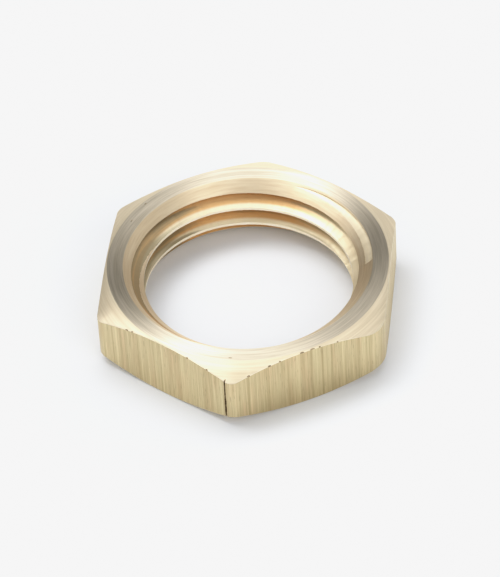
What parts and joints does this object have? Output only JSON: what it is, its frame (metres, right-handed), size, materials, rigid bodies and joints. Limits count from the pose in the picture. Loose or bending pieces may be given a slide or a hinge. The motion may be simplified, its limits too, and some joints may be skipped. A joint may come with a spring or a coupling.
{
  "type": "hex nut",
  "caption": "Thin brass hexagon lock nut, chamfered and countersunk on both faces, with a right-hand straight pipe thread through it.",
  "frame": {"origin": "centre of the lower face, on the thread axis", "axes": "+Z along the thread axis, up from the lower face; +X square to a flat; +Y through a corner"},
  "size_m": [0.0254, 0.029, 0.0061],
  "materials": {
    "brass": "bright drawn bar on the flats, fine turned finish on the faces, chamfers and countersinks"
  },
  "bodies": {
    "root": {"nut": "brass"}
  },
  "joints": []
}
